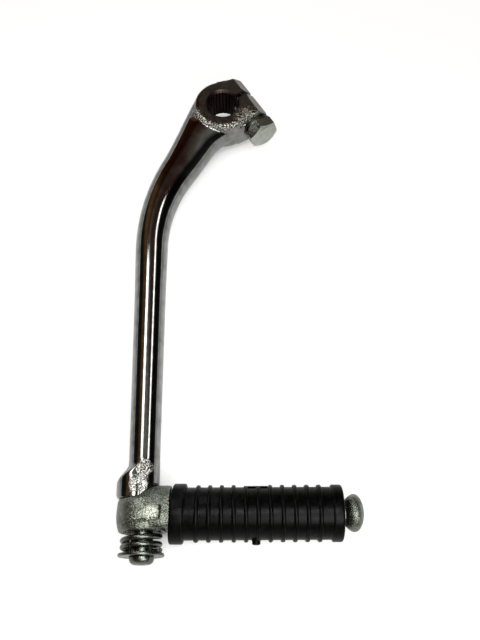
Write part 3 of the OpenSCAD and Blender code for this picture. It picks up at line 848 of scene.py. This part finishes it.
# The flat on the front of the eye
def flatten(at):
    p = pedalSet
    if at.y > 0 and p["flatTo"][0] < at.x < p["flatTo"][1] and p["flatUp"][0] < at.z < p["flatUp"][1]:
        at.y = min(at.y, p["eyeR"] - p["flatDepth"])
    return at


# The crease under the flat, where the forging's halves met
def crease(at):
    p = pedalSet
    line = p["creaseDown"] + p["creaseSlope"] * (-at.x - 6)
    near = abs(at.z - line) / p["creaseHalf"]
    if at.y > 0 and near < 1 and p["creaseTo"][0] < at.x < p["creaseTo"][1]:
        length = Vector((at.x, at.y)).length
        deep = p["creaseDepth"] * ease(1 - near)
        at.x *= 1 - deep / length
        at.y *= 1 - deep / length
    return at


# How deep the rough plating is over the eye; none near its lower face, which runs on the spring
def eyeGrain(at):
    p = pedalSet
    near = pivotFrame.inverted() @ at
    if at.z < planeZ + p["grainUp"] or near.z > jointSet["eyeDown"] - 1:
        return 0
    start, run = p["grainRun"]
    share = p["grainShare"] if near.x > 8 else 1
    return p["grainDepth"] * min(1, max(p["grainLeast"], (near.x + start) / run)) * share


def makePedal(material):
    p = pedalSet
    down = jointSet["eyeDown"]
    reach = down - p["eyeMiddle"]
    outline = [(0, -p["eyeUp"]), (p["eyeR"] - 1.3, -p["eyeUp"])]
    for z in spread(-p["eyeUp"] + 0.4, down - 0.4, 24):
        share = 0.5 if z < p["eyeMiddle"] else 1
        outline.append((p["eyeR"] - p["eyeBarrel"] * share * ((z - p["eyeMiddle"]) / reach) ** 2, z))
    outline += [(p["eyeR"] - p["eyeBarrel"] - 0.4, down), (0, down)]
    pedal = keepMesh(revolve(outline, pivotFrame), "pedal_detail")
    wide = 2 * p["shoulderR"]
    box = [(-wide, -wide), (wide, -wide), (wide, wide), (-wide, wide)]
    block = keepMesh(prism(box, -p["eyeUp"], p["shoulderLow"], pivotFrame), "block")
    combine(block, makeHump(), "UNION")
    ends = p["gripStart"] - fit
    swell = [(0, -4), (p["shoulderR"] - 2, -4), (p["shoulderR"] - 0.9, -1), (p["shoulderR"] - 0.2, 2.5)]
    swell += [(p["shoulderR"], 5), (p["shoulderR"], ends), (0, ends)]
    shoulder = keepMesh(revolve(swell, pedalFrame), "shoulder")
    combine(shoulder, block, "INTERSECT")
    combine(pedal, shoulder, "UNION")
    meltForms(pedal, p["voxel"], p["rounds"])
    reshape(pedal, flatten)
    easeForm(pedal, p["flatRounds"])
    reshape(pedal, crease)
    easeForm(pedal, p["creaseRounds"])
    roughen(pedal, eyeGrain, armSet["grainSize"])
    combine(pedal, keepMesh(barAndKnob(), "bar"), "UNION")
    hole = rod(jointSet["pinR"] + jointSet["pinGap"], -p["humpUp"] - 1, down + 1, pivotFrame)
    combine(pedal, keepMesh(hole, "hole"), "DIFFERENCE")
    finishPiece(pedal, "pedal", material, ["pedal"])


def barAndKnob():
    p = pedalSet
    start = p["gripStart"] - 2
    end = p["gripStart"] + p["gripLen"]
    knob = end + 1
    half = p["knobLen"] / 2
    neck = end - p["lip"]
    outline = [(0, start), (p["barR"], start), (p["barR"], neck - 0.6), (p["barR"] - 0.6, neck)]
    outline += [(p["neckR"], neck), (p["neckR"], knob)]
    for k in range(1, 11):
        outline.append((along(p["neckR"], p["knobR"], sin(radians(9 * k))), knob + half * k / 10))
    for k in range(1, 11):
        turn = radians(8 * k)
        outline.append((p["knobR"] * cos(turn), knob + half + half * sin(turn)))
    return revolve(outline + [(0, knob + p["knobLen"])], pedalFrame)


# Grip rubber
gripSet = {
    "ribR": 11.35, "floorR": 10.45, "ribs": 11, "ribW": 1.75, "band": 5.5, "bandR": 12, "endBand": 4.4,
    "padW": 9.8, "padLen": 20.5, "padR": 10.95, "padGap": 0.35, "shift": -0.9, "nubR": 1.7, "nubH": 1,
    "lean": 0.08, "leanRun": 25,                         # of the end at the shoulder
}


def makeGrip(material):
    g, p = gripSet, pedalSet
    start = p["gripStart"]
    end = start + p["gripLen"]
    pitch = (p["gripLen"] - g["band"] - g["endBand"]) / (g["ribs"] + 1)
    hole = p["barR"] + fit
    band = start + g["band"]
    outline = [(hole, start), (g["bandR"] - 1.1, start)] + roundTo(g["bandR"] - 0.9, start + 0.9, 0.9, -70, 0)
    outline += roundTo(g["bandR"] - 0.7, band - 0.7, 0.7, 0, 80) + [(g["floorR"], band)]
    for k in range(1, g["ribs"] + 1):
        middle = start + g["band"] + k * pitch
        for turn in spread(180, 0, 12):
            rise = max(0, sin(radians(turn))) ** 0.55
            out = middle + g["ribW"] / 2 * cos(radians(turn))
            outline.append((along(g["floorR"], g["ribR"], rise), out))
    outline += [(g["floorR"], end - g["endBand"])]
    outline += roundTo(g["ribR"] - 0.6, end - g["endBand"] + 0.6, 0.6, -80, 0)
    outline += roundTo(g["ribR"] - 1, end - 1, 1, 0, 85)
    inner, lip = p["neckR"] + fit, end - p["lip"] + fit
    outline += [(inner, end), (inner, lip), (hole, lip)]
    grip = keepMesh(ringOf(outline, pedalFrame, 160), "grip_rubber_detail")
    middle = start + g["band"] + (g["ribs"] + 1) / 2 * pitch + g["shift"]
    place = pedalFrame @ Matrix.Translation((0, 0, middle)) @ Matrix.Rotation(radians(-90), 4, "X")
    combine(grip, padForm(place, g["padW"] / 2 + g["padGap"], g["padR"] - 1, 20), "DIFFERENCE")
    pad = padForm(place, g["padW"] / 2, g["floorR"] - 0.4, 20)
    level = keepMesh(rod(g["padR"], middle - g["padW"], middle + g["padW"], pedalFrame, 160), "level")
    combine(pad, level, "INTERSECT")
    reach = g["padW"] * 0.6
    refill = keepMesh(rod(g["floorR"], middle - reach, middle + reach, pedalFrame, 160), "refill")
    combine(refill, keepMesh(rod(hole, middle - 20, middle + 20, pedalFrame, 160), "inside"), "DIFFERENCE")
    combine(grip, refill, "UNION")
    combine(grip, pad, "UNION")
    under = pedalFrame @ Matrix.Translation((0, 0, middle)) @ Matrix.Rotation(radians(90), 4, "X")
    tip = g["ribR"] + g["nubH"]
    nub = [(0, g["floorR"] - 0.5), (g["nubR"] + 0.4, g["floorR"] - 0.5), (g["nubR"] + 0.2, g["floorR"] + 0.2)]
    nub += [(g["nubR"], g["floorR"] + 0.5)] + roundTo(g["nubR"] - 0.6, tip - 0.6, 0.6, 0, 80) + [(0, tip)]
    combine(grip, keepMesh(revolve(nub, under, 48), "nub"), "UNION")
    back = pedalFrame.inverted()
    for vert in grip.data.vertices:
        run = (back @ vert.co).z - start
        vert.co.x += g["lean"] * (vert.co.y - pivotY) * max(0, 1 - run / g["leanRun"])
    finishPiece(grip, "pedal", material, ["grip_rubber"], 40)


# A rounded oval block across the grip
def padForm(place, half, low, high):
    run = (gripSet["padLen"] - gripSet["padW"]) / 2
    outline = [(run + half * cos(radians(t)), half * sin(radians(t))) for t in spread(-90, 90, 20)]
    outline += [(-run - half * cos(radians(t)), half * sin(radians(t))) for t in spread(90, -90, 20)]
    return keepMesh(prism(outline, low, high, place), "pad")


# Floor: white to the camera, shaded near the lever by its shadow and by a painted shade in its glow, and thin
# enough to show what lies below it
stageSet = {
    "floorSize": 6,                                      # half its width in metres
    "floorColour": (0.8, 0.8, 0.8),
    "glow": 0.57,                                        # its own light near the lever; 1 far out
    "glowFrom": ((0, -100, 0), 150, 1500),
    "thin": 0.6,
    "shadeReach": 40,
    "shade": (0.2, 0.5),
}


def makeStage():
    s = stageSet
    bm = bmesh.new()
    bmesh.ops.create_grid(bm, x_segments=1, y_segments=1, size=s["floorSize"])
    floor = keepMesh(bm, "floor")
    floor.location.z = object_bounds()[0].z
    material, tree = blankMaterial("floor_pale")
    path = addNode(tree, "ShaderNodeLightPath")
    seen = maths(tree, "MAXIMUM", path.outputs["Is Camera Ray"], path.outputs["Is Transmission Ray"])
    matt = addNode(tree, "ShaderNodeBsdfDiffuse", Color=(*s["floorColour"], 1))
    cover = addNode(tree, "ShaderNodeAmbientOcclusion", {"samples": 8}, Distance=s["shadeReach"] * mm)
    close = nearness(tree, objectPlace(tree), *s["glowFrom"])
    # painted shade: the floor's glow fades where ambient occlusion finds the lever close
    bare = remap(tree, cover.outputs["AO"], *s["shade"], 0, 1)
    strength = maths(tree, "MULTIPLY", remap(tree, close, 0, 1, 1, s["glow"]), bare)
    glow = addNode(tree, "ShaderNodeEmission", Color=(1, 1, 1, 1), Strength=strength)
    both = addNode(tree, "ShaderNodeAddShader")
    tree.links.new(matt.outputs[0], both.inputs[0])
    tree.links.new(glow.outputs[0], both.inputs[1])
    mixed = addNode(tree, "ShaderNodeMixShader", Fac=seen)
    tree.links.new(matt.outputs[0], mixed.inputs[1])
    tree.links.new(both.outputs[0], mixed.inputs[2])
    clear = addNode(tree, "ShaderNodeBsdfTransparent")
    through = maths(tree, "MULTIPLY", maths(tree, "MULTIPLY", path.outputs["Is Camera Ray"], s["thin"]), bare)
    thin = addNode(tree, "ShaderNodeMixShader", Fac=through)
    tree.links.new(mixed.outputs[0], thin.inputs[1])
    tree.links.new(clear.outputs[0], thin.inputs[2])
    output = addNode(tree, "ShaderNodeOutputMaterial")
    tree.links.new(thin.outputs[0], output.inputs["Surface"])
    floor.data.materials.append(material)


def colourSteps(tree, value, steps):
    ramp = addNode(tree, "ShaderNodeValToRGB", Fac=value)
    stops = ramp.color_ramp.elements
    while len(stops) < len(steps):
        stops.new(0.5)
    for stop, (place, colour) in zip(stops, steps):
        stop.position = place
        stop.color = (*colour, 1)
    return ramp.outputs["Color"]


# Room: white below and to the camera; above, walls that are grey in the middle, dark at both sides and dimmer
# towards the far end
worldSet = {
    "wall": (
        (0.0, (0.02, 0.02, 0.02)), (0.12, (0.01, 0.01, 0.01)), (0.2, (0.2, 0.1, 0.035)),
        (0.34, (0.07, 0.03, 0.025)), (0.44, (0.25, 0.235, 0.205)), (0.72, (0.24, 0.23, 0.205)),
        (0.85, (0.01, 0.01, 0.01)), (1.0, (0.03, 0.03, 0.03)),
    ),
    "depth": (
        (0.38, (1, 1, 1)), (0.46, (0.25, 0.12, 0.1)), (0.59, (0.25, 0.12, 0.1)), (0.63, (0.42, 0.36, 0.33)),
    ),
    "slant": 0.5,
    "rise": (0.04, 0.14),                                # where the walls begin above the white
}


def makeWorld():
    s = worldSet
    world = bpy.data.worlds.new("studio")
    bpy.context.scene.world = world
    world.use_nodes = True
    tree = world.node_tree
    tree.nodes.clear()
    look = addNode(tree, "ShaderNodeTexCoord").outputs["Generated"]
    parts = addNode(tree, "ShaderNodeSeparateXYZ", Vector=look)
    wall = colourSteps(tree, remap(tree, parts.outputs["X"], -1, 1, 0, 1), s["wall"])
    sideways = maths(tree, "MULTIPLY", parts.outputs["X"], s["slant"])
    depth = colourSteps(tree, maths(tree, "ADD", parts.outputs["Y"], sideways), s["depth"])
    room = addNode(tree, "ShaderNodeVectorMath", {"operation": "MULTIPLY"})
    tree.links.new(wall, room.inputs[0])
    tree.links.new(depth, room.inputs[1])
    rise = remap(tree, parts.outputs["Z"], *s["rise"], 0, 1)
    straight = addNode(tree, "ShaderNodeLightPath").outputs["Is Camera Ray"]
    rise = maths(tree, "MULTIPLY", rise, remap(tree, straight, 0, 1, 1, 0))
    colour = blendColours(tree, rise, (1, 1, 1), room.outputs["Vector"])
    back = addNode(tree, "ShaderNodeBackground", Color=colour, Strength=1.0)
    output = addNode(tree, "ShaderNodeOutputWorld")
    tree.links.new(back.outputs[0], output.inputs["Surface"])


# Lamps: two strips that make the light streaks along the shank, and two soft ones. Each has its place, the
# point that it faces, its length and width and the strength of its surface
lampSet = {
    "strip_left": ((-88, -69, 174), (shankX, -69, 0), (148, 46), 6),
    "strip_right": ((-10.3, -106, 37.5), (shankX, -106, 0), (132, 6), 5),
    "over": ((30, -210, 420), (0, -100, 0), (170, 110), 12),
    "front": ((90, -340, 240), (0, -60, 0), (160, 160), 7),
}


def makeLamp(name, place, aim, size, strength):
    data = bpy.data.lights.new(name, "AREA")
    data.shape = "RECTANGLE"
    data.size = size[0] * mm
    data.size_y = size[1] * mm
    data.energy = strength * pi * data.size * data.size_y
    lamp = bpy.data.objects.new(name, data)
    lamp.location = Vector(place) * mm
    lamp.rotation_mode = "QUATERNION"
    lamp.rotation_quaternion = (Vector(aim) * mm - Vector(place) * mm).to_track_quat("-Z", "Y")
    lamp.visible_camera = False
    bpy.context.scene.collection.objects.link(lamp)


makeCamera()
chrome = chromeMaterial()
zinc = metalMaterial("zinc_rough")
steel = metalMaterial("steel_bright")
boltZinc = metalMaterial("zinc_bolt")
rubber = rubberMaterial()
print("materials made")

makeArm(chrome)
makeBolt(boltZinc)
makeLockWasher(steel)
makePin(steel)
makeSpring(steel)
makeSeatWasher(steel)
makePedal(zinc)
makeGrip(rubber)

makeStage()
makeWorld()
for name, values in lampSet.items():
    makeLamp(name, *values)
bpy.context.scene.view_settings.view_transform = "Standard"
print("stage made")
